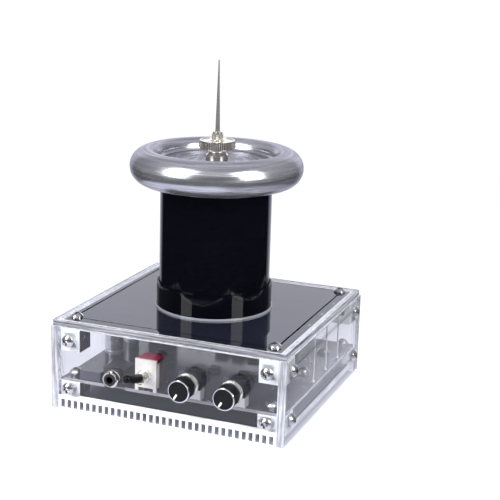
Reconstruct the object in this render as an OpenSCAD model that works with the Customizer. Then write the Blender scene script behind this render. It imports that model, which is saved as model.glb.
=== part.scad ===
// Desktop resonant transformer: a clear screwed case with two circuit boards,
// a front row of controls, and a wound coil under a spun aluminium ring.
// X runs to the right, Y to the back, Z up. The origin lies on the floor under
// the middle of the whole object's bounding box.

/* [Case] */
// Outer width of the clear case, left to right
case_w = 120; // [108:1:150]
// Outer depth of the clear case, front to back
case_d = 116; // [104:1:150]
// Height of the case from the floor to the top of the lid sheet
case_h = 44.5; // [40:0.5:60]
// Thickness of the four upright sheets
wall_t = 4; // [3:0.1:5]
// Thickness of the lid and of the bottom sheet
flat_t = 3; // [2.6:0.1:4]
// Step from the upright sheets' outer faces in to the lid's edge
lid_inset = 0.7; // [0.3:0.1:1.5]
// Gap between the floor and the bottom sheet
foot_gap = 3.9; // [2.8:0.1:5]

/* [Vent slots] */
// Width of one vent slot in the front and back sheets
slot_w = 2.1; // [1.5:0.1:2.5]
// Distance between neighbouring slots
slot_pitch = 3.36; // [3.1:0.02:6]
// Height of the web left under the slots
slot_web = 0.8; // [0.6:0.1:1.4]
// Sheet left above the slots, below the bottom sheet's top face
slot_cap = 2; // [1:0.1:2.4]

/* [Corner blocks and screws] */
// Width and depth of the aluminium corner blocks
block_w = 10.4; // [9.6:0.1:12]
// Height of the blocks under the lid
upper_block_h = 11.1; // [9:0.1:13]
// Height of the blocks under the main board
lower_block_h = 6.6; // [6.2:0.1:9]
// Height of the side screws above the middle of their blocks
screw_rise = 0.4; // [0:0.1:0.6]
// Thread diameter of the case screws
screw_d = 3; // [2.5:0.1:3.2]
// Head diameter of the case screws
screw_head_d = 6; // [5:0.1:6.2]
// Head height of the case screws
screw_head_h = 2.2; // [1.6:0.1:2.4]
// Length of thread that a case screw has inside its block
screw_bite = 3; // [2.4:0.1:3.2]

/* [Boards] */
// Thickness of the main circuit board
board_t = 1.6; // [1.2:0.2:2]
// Thickness of the black board under the lid
lid_board_t = 1.6; // [1.2:0.2:2]
// Gap between a board's edge and the sheets round it
board_gap = 0.5; // [0.3:0.1:1]
// Height of the collars between the main board and its screws' heads
board_collar_h = 1.6; // [0.5:0.1:4]
// Diameter of the three wires between the boards
riser_d = 0.9; // [0.7:0.1:1.2]

/* [Board parts] */
// Diameter of the tall smoothing capacitor
bulk_d = 16; // [12:0.5:18]
// Diameters of the two smaller capacitors along the left sheet
small_can_ds = [9.6, 8.4]; // [6:0.1:12]
// Width, depth and height of a pulse capacitor
pulse_size = [7, 16, 13]; // [5:0.5:20]
// Height of the box capacitor behind the front sheet
film_h = 5; // [4:0.1:8]
// Width and thickness of a power transistor
transistor_size = [16, 5]; // [3:0.1:18]
// Diameter of the ring core's middle line
core_d = 12; // [11:0.5:14]
// Diameter of the wire wound round the ring core
wire_d = 0.8; // [0.5:0.05:0.9]

/* [Coil] */
// Outside diameter of the lacquered winding
coil_d = 55; // [48:0.1:58]
// Thickness of the wound layer
winding_t = 0.6; // [0.4:0.1:0.8]
// Wall of the tube that the coil is wound on
former_wall = 2; // [1.5:0.1:3]
// Thickness of the copper band round the coil's foot
band_t = 0.5; // [0.3:0.1:0.8]
// Thickness of the insulating sleeve over the band
sleeve_t = 0.6; // [0.4:0.1:1]
// Height of the sleeve above the lid
sleeve_h = 12.4; // [8:0.5:20]
// Width of the clear hoop round the sleeve's foot
hoop_t = 0.5; // [0.4:0.1:1]
// Height of the clear hoop above the lid
hoop_h = 1; // [0.8:0.1:1.6]

/* [Toroid] */
// Height of the toroid's seam above the floor
toroid_z = 114.9; // [100:0.1:140]
// Radius of the rounded rim's section
rim_r = 8.6; // [8:0.1:10]
// Radius of the smaller curve that leads into the dish
dish_curve_r = 5.5; // [5:0.1:7]
// Gap between the coil and the wall of the toroid round it
dish_gap = 0.9; // [0.1:0.1:1.5]
// Radius of the hollow curve at the foot of the dish
cove_r = 2; // [1:0.1:3]
// Wall of the spun shells
shell_t = 1.2; // [1:0.1:1.5]

/* [Terminal] */
// Diameter of the boss's foot
boss_d = 10.9; // [10:0.1:14]
// Height of the boss
boss_h = 4.9; // [4:0.1:7]
// Diameter of the knurled thumb nut
nut_d = 18.1; // [15:0.1:22]
// Height of the thumb nut
nut_h = 4.8; // [4:0.1:6]
// Thread diameter of the centre stud
stud_d = 4; // [3:0.1:4.5]
// Diameter of the small knurled collet
collet_d = 5.6; // [5:0.1:6.6]
// Height of the collet
collet_h = 4.1; // [3.6:0.1:6]
// Diameter of the needle at the collet
needle_d = 2.3; // [1.8:0.1:2.6]
// Diameter of the needle at its tip
needle_tip_d = 0.6; // [0.4:0.1:1]
// Length of the needle above the collet
needle_l = 34.8; // [25:0.1:45]

/* [Knobs] */
// Height of the knobs' and the switch's centre above the main board
control_h = 8; // [8:0.1:9]
// Place of the left knob, to the right of the middle
knob_x = 11.8; // [8:0.1:14]
// Distance between the two knobs
knob_pitch = 22.2; // [20:0.1:24]
// Diameter of a knob
knob_d = 10.8; // [10:0.1:12]
// Length of a knob
knob_l = 7.4; // [6.6:0.1:12]
// Diameter of a knob's shaft
shaft_d = 6; // [5:0.1:6]
// Diameter of the threaded bushing round a shaft
bushing_d = 7; // [6.8:0.1:7.4]
// Angle of the pointer to the left of straight down, at the minimum
pointer_angle = 30; // [20:1:45]

/* [Switch] */
// Place of the switch, to the left of the middle
switch_x = 10.9; // [8:0.1:12]
// Width of the switch
switch_w = 11; // [10:0.1:12]
// Height of the steel face of the switch
switch_h = 15; // [14:0.1:16]
// Depth of the red body
switch_body_l = 9.5; // [8:0.1:11]
// Diameter of the switch's threaded bushing
switch_bushing_d = 6; // [5.6:0.1:6.4]
// Length of that bushing in front of the front sheet
switch_bushing_out = 4; // [3.6:0.1:8]
// Diameter of the lever
lever_d = 2.6; // [2:0.1:2.8]
// Length of the lever and its cap from the pivot
lever_l = 17.2; // [14:0.1:22]
// Diameter of the rubber cap
cap_d = 4.5; // [4:0.1:5]
// Angle of the lever above level, in the upper position
lever_angle = 17; // [10:1:20]
// Angle of the lever below level, in the lower position
lever_drop = 21; // [10:1:21]

/* [Sockets] */
// Place of the audio socket, to the left of the middle
jack_x = 27.5; // [26:0.1:34]
// Bore of the audio socket
jack_bore_d = 3.6; // [3.5:0.05:3.7]
// Height of the audio socket's centre above the main board
jack_h = 4.4; // [4.4:0.1:6]
// Outside diameter of the audio socket's ring nut
jack_nut_d = 8; // [7.6:0.1:9]
// Place of the power socket, to the left of the middle
power_x = 30; // [24:0.5:34]
// Bore of the power socket
power_bore_d = 6; // [5.6:0.1:6.4]
// Diameter of the pin in the power socket
power_pin_d = 2.1; // [1.9:0.1:2.5]

/* [Hidden] */
$fn = 64;

// Fits
fit = 0.05;
hole_play = 0.2;
eps = 0.02;

// Colours
clear = [0.86, 0.92, 0.96, 0.35];
alloy = [0.80, 0.82, 0.85];
nickel = [0.78, 0.76, 0.70];
steel = [0.70, 0.71, 0.73];
black = [0.05, 0.05, 0.06];

// The switch lever reaches furthest to the front, and the screw heads to the back
pivot_depth = 2;
pivot_out = switch_bushing_out - pivot_depth;
cap_tip_r = cap_d / 2 - 0.2;
front_reach = pivot_out + (lever_l - cap_tip_r) * cos(lever_angle) + cap_tip_r;
front_y = (front_reach - screw_head_h - case_d) / 2;
back_y = front_y + case_d;
mid_y = (front_y + back_y) / 2;

// Levels and inner faces of the case
inner_w = case_w - 2 * wall_t;
inner_d = case_d - 2 * wall_t;
lid_z = case_h - flat_t;
lid_board_z = lid_z - lid_board_t;
base_z = foot_gap + flat_t;
board_z = base_z + lower_block_h;
board_top = board_z + board_t;
upper_screw_z = lid_board_z - upper_block_h / 2 + screw_rise;
lower_screw_z = base_z + lower_block_h / 2 + screw_rise;
in_front_y = front_y + wall_t;
in_back_y = back_y - wall_t;

// Centres of the corner blocks
block_x = inner_w / 2 - block_w / 2;
block_y = inner_d / 2 - block_w / 2;
sheet_screw_l = wall_t + screw_bite;
screw_r = screw_d / 2;

// Coil
coil_y = mid_y;
coil_r = coil_d / 2;
former_r = coil_r - winding_t;
former_in_r = former_r - former_wall;
band_in_r = coil_r + fit;
sleeve_in_r = band_in_r + band_t + fit;
sleeve_r = sleeve_in_r + sleeve_t;
lid_hole_r = sleeve_r + hole_play;

// Toroid
dish_r = coil_r + dish_gap;
rim_x = dish_r + dish_curve_r;
dish_level = rim_r - dish_curve_r;
disc_top = toroid_z + dish_level;
disc_under = disc_top - shell_t;
cap_flange_h = 2.5;
coil_top = disc_under - cap_flange_h;
plug_h = 6;
plug_t = 5;

// Terminal
boss_top = disc_top + boss_h;
nut_top = boss_top + nut_h;
collet_top = nut_top + collet_h;
needle_seat = nut_top - 1;
stud_r = stud_d / 2;

// Controls
control_z = board_top + control_h;
jack_z = board_top + jack_h;
pot_xs = [knob_x, knob_x + knob_pitch];
pot_w = 10.8;
pot_plate_h = 13.2;
pot_l = 6.5;
plate_t = 1;
pot_nut_af = 10;
pot_nut_t = 2;
pot_washer_t = 0.5;
bushing_out = pot_washer_t + pot_nut_t + 0.8;
knob_back = pot_washer_t + pot_nut_t + 0.5;
knob_front = knob_back + knob_l;
ring_t = 0.6;
ring_w = 0.55;

// Audio socket
jack_barrel_d = 6;
jack_body_w = 11;
jack_body_l = 12;
jack_barrel_out = 2.4;

// Box capacitor, between a board screw and the audio socket
film_left = block_x - screw_head_d / 2 - 1.7;
film_right = jack_x + jack_body_w / 2 + 2.2;
film_x = (film_left + film_right) / 2;
film_w = film_left - film_right;
film_d = 4.4;
film_y = in_front_y + film_d / 2 + 0.6;
film_lead_d = 0.8;
film_lead_xs = [-film_x - film_w * 0.22, -film_x + film_w * 0.22];

// Places of the three wires between the boards, from front to back
riser_x = inner_w / 2 - board_gap - 1.6;
riser_pitch = 19.2;
riser_ys = [for (i = [-1:1]) mid_y + 10.3 + i * riser_pitch];

// Power transistors hang under the board beside its right edge, the rear one in front of a block
transistor_w = transistor_size[0];
transistor_t = transistor_size[1];
transistor_pitch = 32.2;
transistor_x = inner_w / 2 - board_gap - 10.4;
rear_transistor_y = mid_y + inner_d / 2 - block_w - transistor_w / 2 - 1.7;
transistor_ys = [rear_transistor_y - transistor_pitch, rear_transistor_y];

// ---------- shared shapes ----------

// Puts children at the four corners of a rectangle round the case's middle
module at_corners(x = block_x, y = block_y, z = 0) {
  for (sx = [-1, 1], sy = [-1, 1])
    translate([sx * x, mid_y + sy * y, z]) children();
}

// Box between two corners
module span(a, b) {
  translate(a) cube(b - a);
}

// Plate in XY with rounded corners
module rounded_plate(w, d, t, r) {
  linear_extrude(t)
    union() {
      square([w - 2 * r, d], center = true);
      square([w, d - 2 * r], center = true);
      for (sx = [-1, 1], sy = [-1, 1])
        translate([sx * (w / 2 - r), sy * (d / 2 - r)]) circle(r);
    }
}

// Pan head screw with a cross recess. The head stands on z = 0, the thread goes down.
module screw(l, d = screw_d, head_d = screw_head_d, head_h = screw_head_h) {
  dome_r = head_d * 0.62;
  recess_w = head_d * 0.17;
  recess_l = head_d * 0.56;
  recess_h = head_h * 0.6;
  difference() {
    union() {
      rotate_extrude()
        intersection() {
          square([head_d / 2, head_h]);
          translate([0, head_h - dome_r]) circle(dome_r);
        }
      translate([0, 0, -l]) cylinder(d = d, h = l + eps);
    }
    for (a = [0, 90])
      rotate(a)
        translate([-recess_l / 2, -recess_w / 2, head_h - recess_h])
          cube([recess_l, recess_w, recess_h + 1]);
  }
}

// Screws pointing to the back, at the four places of an upright sheet
module face_screws(half_w) {
  for (sx = [-1, 1], z = [lower_screw_z, upper_screw_z])
    translate([sx * half_w, 0, z])
      rotate([90, 0, 0]) screw(sheet_screw_l);
}

// Toothed disc: a circle with n shallow teeth of a given height round it
module toothed(r, n, depth) {
  step = 360 / n;
  polygon([for (i = [0:2 * n - 1])
    let (rr = i % 2 == 0 ? r : r - depth)
      [rr * cos(i * step / 2), rr * sin(i * step / 2)]]);
}

// Threaded outside: a rod with ring-shaped grooves, from z = 0 to l
module threaded_rod(r, l, pitch, depth) {
  n = floor((l - 0.4) / pitch);
  difference() {
    cylinder(r = r, h = l);
    for (i = [0:n - 1])
      translate([0, 0, l - 0.3 - (i + 0.5) * pitch])
        rotate_extrude()
          translate([r, 0])
            polygon([[0.1, -pitch * 0.42], [-depth, 0], [0.1, pitch * 0.42]]);
  }
}

// ---------- clear case ----------

// Least distance from the outermost slots to the side sheets
slot_margin = 1;

// Row of vent slots through an upright sheet that starts at y = 0
module vent_slots() {
  n = floor((inner_w - 2 * slot_margin - slot_w) / slot_pitch);
  slot_h = base_z - slot_cap - slot_web;
  for (i = [0:n])
    translate([(i - n / 2) * slot_pitch - slot_w / 2, -1, slot_web])
      cube([slot_w, wall_t + 2, slot_h]);
}

// Upright sheet between the side sheets, with its screw holes and slots
module cross_sheet() {
  difference() {
    span([-inner_w / 2, 0, 0], [inner_w / 2, wall_t, lid_z]);
    vent_slots();
    for (sx = [-1, 1], z = [lower_screw_z, upper_screw_z])
      translate([sx * block_x, -1, z])
        rotate([-90, 0, 0]) cylinder(r = screw_r + hole_play / 2, h = wall_t + 2);
  }
}

module front_panel() {
  color(clear)
    difference() {
      translate([0, front_y, 0]) cross_sheet();
      for (x = pot_xs) sheet_hole(x, control_z, bushing_d);
      sheet_hole(-switch_x, control_z, switch_bushing_d);
      sheet_hole(-jack_x, jack_z, jack_barrel_d);
    }
}

// Round hole through the front sheet
module sheet_hole(x, z, d) {
  translate([x, front_y - 1, z])
    rotate([-90, 0, 0]) cylinder(d = d + 2 * hole_play, h = wall_t + 2);
}

module back_panel() {
  color(clear)
    difference() {
      translate([0, in_back_y, 0]) cross_sheet();
      span([-power_x - power_w / 2 - hole_play, in_back_y - 1, board_top - hole_play],
           [-power_x + power_w / 2 + hole_play, back_y + 1, board_top + power_h + hole_play]);
    }
}

// Side sheet with its outer face at x = 0, reaching to -x
module side_sheet() {
  difference() {
    span([-wall_t, front_y, 0], [0, back_y, lid_z]);
    for (sy = [-1, 1], z = [lower_screw_z, upper_screw_z])
      translate([-wall_t - 1, mid_y + sy * block_y, z])
        rotate([0, 90, 0]) cylinder(r = screw_r + hole_play / 2, h = wall_t + 2);
  }
}

module right_panel() {
  color(clear) translate([case_w / 2, 0, 0]) side_sheet();
}

module left_panel() {
  color(clear) mirror([1, 0, 0]) translate([case_w / 2, 0, 0]) side_sheet();
}

module lid_plate() {
  color(clear)
    difference() {
      span([lid_inset - case_w / 2, front_y + lid_inset, lid_z],
           [case_w / 2 - lid_inset, back_y - lid_inset, case_h]);
      at_corners(z = lid_z - 1) cylinder(r = screw_r + hole_play / 2, h = flat_t + 2);
      translate([0, coil_y, lid_z - 1]) cylinder(r = lid_hole_r, h = flat_t + 2);
    }
}

module bottom_plate() {
  color(clear)
    difference() {
      span([-inner_w / 2 + fit, in_front_y + fit, foot_gap], [inner_w / 2 - fit, in_back_y - fit, base_z]);
      at_corners(z = foot_gap - 1) {
        cylinder(r = screw_r + hole_play / 2, h = flat_t + 2);
        cylinder(r = screw_head_d / 2 + hole_play, h = 1 + screw_head_h);
      }
    }
}

// ---------- corner blocks and screws ----------

// Aluminium block standing on z = 0, drilled along all three axes
module corner_block(h) {
  r = screw_r + fit;
  difference() {
    translate([-block_w / 2, -block_w / 2, 0]) cube([block_w, block_w, h]);
    translate([0, 0, -1]) cylinder(r = r, h = h + 2);
    translate([0, 0, h / 2 + screw_rise]) {
      rotate([90, 0, 0]) cylinder(r = r, h = block_w + 2, center = true);
      rotate([0, 90, 0]) cylinder(r = r, h = block_w + 2, center = true);
    }
  }
}

module upper_blocks() {
  color(alloy) at_corners(z = lid_board_z - upper_block_h) corner_block(upper_block_h);
}

module lower_blocks() {
  color(alloy) at_corners(z = base_z) corner_block(lower_block_h);
}

// The same screw on all four upright sheets
module case_screws() {
  color(steel) {
    translate([0, front_y, 0]) face_screws(block_x);
    translate([0, back_y, 0]) mirror([0, 1, 0]) face_screws(block_x);
    translate([case_w / 2, mid_y, 0]) rotate(90) face_screws(block_y);
    translate([-case_w / 2, mid_y, 0]) rotate(-90) face_screws(block_y);
  }
}

module lid_screws() {
  color(steel) at_corners(z = case_h) screw(flat_t + lid_board_t + screw_bite);
}

module bottom_screws() {
  color(steel)
    at_corners(z = foot_gap + screw_head_h) mirror([0, 0, 1]) screw(flat_t - screw_head_h + block_z_bite);
}

// Thread length along Z in a lower block: the screws from above and from below do not meet
block_z_bite = lower_block_h / 2 - 0.5;

// Each of the board's screws clamps a short collar on the board
module board_screws() {
  collar_r = screw_r + 0.4;
  color(steel)
    at_corners(z = board_top) {
      cylinder(r = collar_r, h = board_collar_h + eps);
      translate([0, 0, board_collar_h]) screw(board_collar_h + board_t + block_z_bite);
    }
}

// ---------- boards ----------

board_w = inner_w - 2 * board_gap;
board_d = inner_d - 2 * board_gap;

module main_board() {
  notch_w = jack_nut_d + 3;
  color([0.07, 0.08, 0.08])
    difference() {
      translate([0, mid_y, board_z]) rounded_plate(board_w, board_d, board_t, 0.5);
      at_corners(z = board_z - 1) cylinder(r = screw_r + hole_play, h = board_t + 2);
      for (y = transistor_ys)
        translate([transistor_x, y, board_z - 1]) cylinder(r = screw_r + hole_play, h = board_t + 2);
      for (y = riser_ys)
        translate([riser_x, y, board_z - 1]) cylinder(d = riser_d + 2 * fit, h = board_t + 2);
      for (x = film_lead_xs)
        translate([x, film_y, board_z - 1]) cylinder(d = film_lead_d + 2 * fit, h = board_t + 2);
      translate([-jack_x - notch_w / 2, mid_y - board_d / 2 - 1, board_z - 1])
        cube([notch_w, 2, board_t + 2]);
    }
}

module lid_board() {
  color(black)
    difference() {
      translate([0, mid_y, lid_board_z]) rounded_plate(board_w, board_d, lid_board_t, 1);
      at_corners(z = lid_board_z - 1) cylinder(r = screw_r + hole_play / 2, h = lid_board_t + 2);
      for (y = riser_ys)
        translate([riser_x, y, lid_board_z - 1]) cylinder(d = riser_d + 2 * fit, h = lid_board_t + 2);
      translate([0, coil_y, lid_board_z - 1]) cylinder(r = stud_r + fit, h = lid_board_t + 2);
    }
}

// Bare wires with a solder cone on the main board and one under the lid board
module riser_wires() {
  cone_h = 1.2;
  color(nickel)
    for (y = riser_ys)
      translate([riser_x, y, 0]) {
        translate([0, 0, board_z - 0.8])
          cylinder(d = riser_d, h = lid_z - board_z + 0.8 - fit);
        translate([0, 0, board_top])
          cylinder(r1 = riser_d, r2 = riser_d / 2, h = cone_h);
        translate([0, 0, lid_board_z - cone_h])
          cylinder(r1 = riser_d / 2, r2 = riser_d, h = cone_h);
      }
}

// ---------- parts on the main board ----------

// Flat power transistor: moulded body, bare tab and three bent leads, hole at the origin
module power_transistor() {
  lead_end = -15;
  body_start = lead_end + 4.5;
  half_w = transistor_w / 2;
  notch = [2.5, 1.6, 1.2];
  lead_pitch = 5.4;
  difference() {
    span([body_start, -half_w, -transistor_t], [half_w, half_w, 0]);
    translate([0, 0, -transistor_t - 1]) cylinder(r = screw_r + hole_play, h = transistor_t + 2);
    for (s = [-1, 1])
      translate([half_w - notch[0], s * half_w - notch[1], -notch[2]])
        cube([notch[0] + 1, 2 * notch[1], notch[2] + 1]);
  }
  for (i = [-1:1])
    translate([lead_end, i * lead_pitch - 0.6, -2.6]) {
      cube([body_start - lead_end + 0.1, 1.2, 0.6]);
      cube([0.6, 1.2, 2.6]);
    }
}

module power_transistors() {
  color([0.12, 0.12, 0.13])
    for (y = transistor_ys) translate([transistor_x, y, board_z]) power_transistor();
}

// Screw, washer and nut through the board and each transistor
module transistor_screws() {
  washer_t = 0.5;
  nut_t = 1;
  color(steel)
    for (y = transistor_ys)
      translate([transistor_x, y, board_top]) {
        translate([0, 0, washer_t]) screw(board_t + transistor_t + washer_t);
        difference() {
          cylinder(d = 7, h = washer_t + eps);
          translate([0, 0, -1]) cylinder(r = screw_r - eps, h = washer_t + 2);
        }
        translate([0, 0, -board_t - transistor_t - nut_t])
          cylinder(d = 5.6, h = nut_t, $fn = 6);
      }
}

// Electrolytic can on z = 0 with its crimp, scored top and rubber foot
module can(r, h) {
  difference() {
    cylinder(r = r, h = h);
    translate([0, 0, 2.2]) rotate_extrude() translate([r + 0.25, 0]) circle(0.7);
    for (a = [45, 135])
      rotate(a) translate([-r * 0.6, -0.15, h - 0.25]) cube([r * 1.2, 0.3, 1]);
    translate([0, 0, h - 0.4])
      rotate_extrude() translate([r - 0.4, 0]) square([1, 1]);
  }
}

// Room for upright parts between the two boards
between_boards = lid_board_z - board_top;
tall_gap = 2.8;

module bulk_capacitor() {
  bulk_r = bulk_d / 2;
  y = mid_y + inner_d / 2 - block_w - bulk_r - 1.6;
  color([0.16, 0.17, 0.22])
    translate([-inner_w / 2 + bulk_r + 5, y, board_top]) can(bulk_r, between_boards - tall_gap);
}

// Two smaller cans stand in a row along the left sheet
module small_capacitors() {
  tall = [small_can_ds[0] / 2, between_boards - 2 * tall_gap, -11];
  short = [small_can_ds[1] / 2, between_boards - 4 * tall_gap, 9.5];
  color([0.66, 0.67, 0.72])
    for (c = [tall, short])
      translate([-inner_w / 2 + c[0] + 1.7, mid_y + c[2], board_top]) can(c[0], c[1]);
}

// Box capacitor behind the front sheet, with two leads through the board
module film_capacitor() {
  color([0.25, 0.26, 0.30]) {
    difference() {
      translate([-film_x, film_y, board_top]) rounded_plate(film_w, film_d, film_h, 0.6);
      translate([-film_x, film_y, board_top]) cube([film_w - 2.4, film_d + 1, 0.6], center = true);
    }
    for (x = film_lead_xs)
      translate([x, film_y, board_z - 1.5]) cylinder(d = film_lead_d, h = board_t + 1.9);
  }
}

// Pair of pulse capacitors that tune the circuit, along the back sheet
module resonant_capacitors() {
  pitch = pulse_size[0] + 2.5;
  y = mid_y + inner_d / 2 - pulse_size[1] / 2 - 6;
  color([0.55, 0.20, 0.12])
    for (i = [0, 1])
      translate([(i - 1) * pitch + 1.5, y, board_top])
        rounded_plate(pulse_size[0], pulse_size[1], pulse_size[2], 1);
}

// Small outline chip: body on leads, standing on z = 0
module chip(w, d, pins) {
  lead = 1.3;
  span([-w / 2, -d / 2, 0.3], [w / 2, d / 2, 1.9]);
  for (i = [0:pins - 1], s = [-1, 1])
    translate([(i - (pins - 1) / 2) * 1.27, 0, 0])
      span([-0.2, min(s * (d / 2 - 0.1), s * (d / 2 + lead)), 0],
           [0.2, max(s * (d / 2 - 0.1), s * (d / 2 + lead)), 0.6]);
}

module logic_chips() {
  wide = [10, 8];
  narrow = [5, 4];
  body_d = 4;
  color([0.1, 0.1, 0.11])
    for (c = [[8, -14, narrow], [26, -14, wide], [20, 8, narrow]])
      translate([c[0], mid_y + c[1], board_top]) chip(c[2][0], body_d, c[2][1]);
}

// ---------- gate transformer: ring core with one unbroken winding ----------

core_x = 22;
core_y = mid_y + inner_d / 2 - 22;
core_r = core_d / 2;
core_half_w = 2.4;
core_h = 5.6;
core_edge_r = 1;
wire_gap = 0.15;
core_z = board_top + wire_d + wire_gap + fit;
turns = 12;
steps = 24;
wire_sides = 6;
wound_angle = 320;

// Ring with rounded edges, on a foot in the gap that the winding leaves open
module transformer_core() {
  foot_w = 3;
  color([0.20, 0.26, 0.22])
    translate([core_x, core_y, core_z]) {
      rotate_extrude()
        translate([core_r - core_half_w, 0]) {
          translate([core_edge_r, 0]) square([2 * (core_half_w - core_edge_r), core_h]);
          translate([0, core_edge_r]) square([2 * core_half_w, core_h - 2 * core_edge_r]);
          for (x = [core_edge_r, 2 * core_half_w - core_edge_r], z = [core_edge_r, core_h - core_edge_r])
            translate([x, z]) circle(core_edge_r);
        }
      rotate((wound_angle - 360) / 2)
        span([core_r - foot_w / 2, -foot_w / 2, board_top - core_z], [core_r + foot_w / 2, foot_w / 2, 0.5]);
    }
}

// Winding path: each turn is a rounded loop round the ring's section
wind_half_w = core_half_w + wire_d / 2 + wire_gap;
wind_half_h = core_h / 2 + wire_d / 2 + wire_gap;
function squash(a, p) = sign(a) * pow(abs(a), p);
function wind_point(u) =
  let (a = 360 * u, ring = wound_angle * u / turns, q = 0.4,
       r = core_r - wind_half_w * squash(cos(a), q),
       z = wind_half_h * squash(sin(a), q))
    [r * cos(ring), r * sin(ring), z];
wind_path = [for (i = [0:turns * steps]) wind_point(i / steps)];

function unit(v) = v / norm(v);
function tangent(p, i) =
  unit(p[min(i + 1, len(p) - 1)] - p[max(i - 1, 0)]);
function frame_side(t, c) = unit(cross(t, c));

// Tube along a path round the centre: sides lie in the plane of the path's own frame
module tube(path, d, sides) {
  n = len(path);
  rings = [for (i = [0:n - 1])
    let (t = tangent(path, i),
         c = unit([path[i][0], path[i][1], 0.001]),
         s = frame_side(t, unit(cross([0, 0, 1], c))),
         b = cross(t, s))
      [for (k = [0:sides - 1])
        path[i] + d / 2 * (cos(360 * k / sides) * s + sin(360 * k / sides) * b)]];
  points = [for (ring = rings, q = ring) q];
  sides_f = [for (i = [0:n - 2], k = [0:sides - 1])
    let (a = i * sides + k, b = i * sides + (k + 1) % sides)
      each [[a, b, b + sides], [a, b + sides, a + sides]]];
  first = [for (k = [1:sides - 2]) [0, k + 1, k]];
  m = (n - 1) * sides;
  last = [for (k = [1:sides - 2]) [m, m + k, m + k + 1]];
  polyhedron(points, concat(sides_f, first, last));
}

module transformer_winding() {
  color([0.75, 0.30, 0.15])
    translate([core_x, core_y, core_z + core_h / 2]) tube(wind_path, wire_d, wire_sides);
}

// Least gap between one turn and the next, measured between path points
wind_gap = min([for (i = [0:2:steps * 2], j = [i + steps * 0.5:2:i + steps * 1.5])
  norm(wind_path[i] - wind_path[j])]) - wire_d;
echo("least gap in the transformer winding, mm", wind_gap);

// ---------- sockets ----------

module audio_jack() {
  color([0.14, 0.14, 0.15])
    translate([-jack_x, in_front_y, jack_z])
      difference() {
        union() {
          span([-jack_body_w / 2, fit, -jack_h], [jack_body_w / 2, jack_body_l, jack_h - 0.2]);
          rotate([90, 0, 0]) cylinder(d = jack_barrel_d, h = wall_t + jack_barrel_out);
        }
        translate([0, jack_body_l - 1.5, 0])
          rotate([90, 0, 0]) cylinder(d = jack_bore_d, h = jack_body_l + wall_t + jack_barrel_out);
      }
}

module audio_jack_nut() {
  nut_t = 2;
  color(nickel)
    translate([-jack_x, front_y, jack_z])
      rotate([90, 0, 0])
        difference() {
          rotate_extrude()
            polygon([[jack_barrel_d / 2 + fit, 0], [jack_nut_d / 2, 0], [jack_nut_d / 2, nut_t - 0.4],
                     [jack_nut_d / 2 - 0.4, nut_t], [jack_barrel_d / 2 + fit, nut_t]]);
          for (a = [0, 90])
            rotate(a) translate([-jack_nut_d, -0.4, nut_t - 0.7]) cube([2 * jack_nut_d, 0.8, 1]);
        }
}

power_w = 9;
power_h = 11;
power_l = 14;

module power_jack() {
  color([0.06, 0.06, 0.07])
    translate([-power_x, back_y, board_top])
      difference() {
        span([-power_w / 2, -power_l, 0], [power_w / 2, 0, power_h]);
        translate([0, 1, power_h / 2]) rotate([90, 0, 0]) cylinder(d = power_bore_d, h = 10.5);
      }
}

module power_jack_pin() {
  color(nickel)
    translate([-power_x, back_y - 1, board_top + power_h / 2])
      rotate([90, 0, 0]) cylinder(d = power_pin_d, h = 8.5);
}

// ---------- toggle switch ----------

switch_frame_y = in_front_y + 0.1;
switch_body_y = switch_frame_y + plate_t;
bushing_bore_r = lever_d / 2 + 0.7;
ball_r = bushing_bore_r - fit;
pivot_pin_r = 0.5;
pivot_pin_l = 2 * (bushing_bore_r + 0.4);
pivot_y = front_y - pivot_out;

module at_switch(y) {
  translate([-switch_x, y, control_z]) children();
}

module switch_body() {
  body_h = switch_h - 2;
  pin_t = 0.8;
  color([0.70, 0.06, 0.12])
    difference() {
      at_switch(switch_body_y)
        span([-switch_w / 2 + 0.3, 0, switch_top - body_h],
             [switch_w / 2 - 0.3, switch_body_l, switch_top - 0.3]);
      at_switch(switch_body_y - 1)
        rotate([-90, 0, 0]) cylinder(r = bushing_bore_r, h = 4);
    }
  color(nickel)
    for (x = [-1, 1], y = [2, 5, 8])
      at_switch(switch_body_y + y)
        span([x * 2.4 - pin_t / 2, -pin_t / 2, -control_h],
             [x * 2.4 + pin_t / 2, pin_t / 2, switch_top - body_h + eps]);
}

// Top of the switch's steel face above the control centre
switch_top = switch_h - control_h + 0.7;

// Steel face with folded side flanges and legs that stand on the board
module switch_frame() {
  flange_l = 3.5;
  leg_w = 1.6;
  foot = switch_top - switch_h;
  color([0.80, 0.79, 0.76])
    difference() {
      union() {
        at_switch(switch_frame_y)
          span([-switch_w / 2, 0, foot + 1], [switch_w / 2, plate_t, switch_top]);
        for (s = [-1, 1])
          at_switch(switch_frame_y)
            span([s * switch_w / 2 - (s > 0 ? 0.3 : 0), 0, foot + 1],
                 [s * switch_w / 2 + (s > 0 ? 0 : 0.3), flange_l, switch_top - 2]);
        for (s = [-1, 1])
          at_switch(switch_frame_y)
            span([s * (switch_w / 2 - leg_w / 2) - leg_w / 2, 0, -control_h],
                 [s * (switch_w / 2 - leg_w / 2) + leg_w / 2, plate_t, foot + 1 + eps]);
      }
      at_switch(switch_frame_y - 1)
        rotate([-90, 0, 0]) cylinder(r = switch_bushing_d / 2 + fit, h = plate_t + 2);
    }
}

module switch_bushing() {
  l = switch_body_y - front_y + switch_bushing_out;
  color(nickel)
    at_switch(switch_body_y)
      rotate([90, 0, 0])
        difference() {
          threaded_rod(switch_bushing_d / 2, l, 0.9, 0.35);
          translate([0, 0, -1]) cylinder(r = bushing_bore_r, h = l + 2);
          translate([0, 0, l - 1.1])
            cylinder(r1 = bushing_bore_r - eps, r2 = switch_bushing_d / 2 - 0.3, h = 1.1 + eps);
          translate([0, 0, l - pivot_depth])
            rotate([0, 90, 0]) cylinder(r = pivot_pin_r + fit, h = pivot_pin_l + 0.1, center = true);
        }
}

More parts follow.
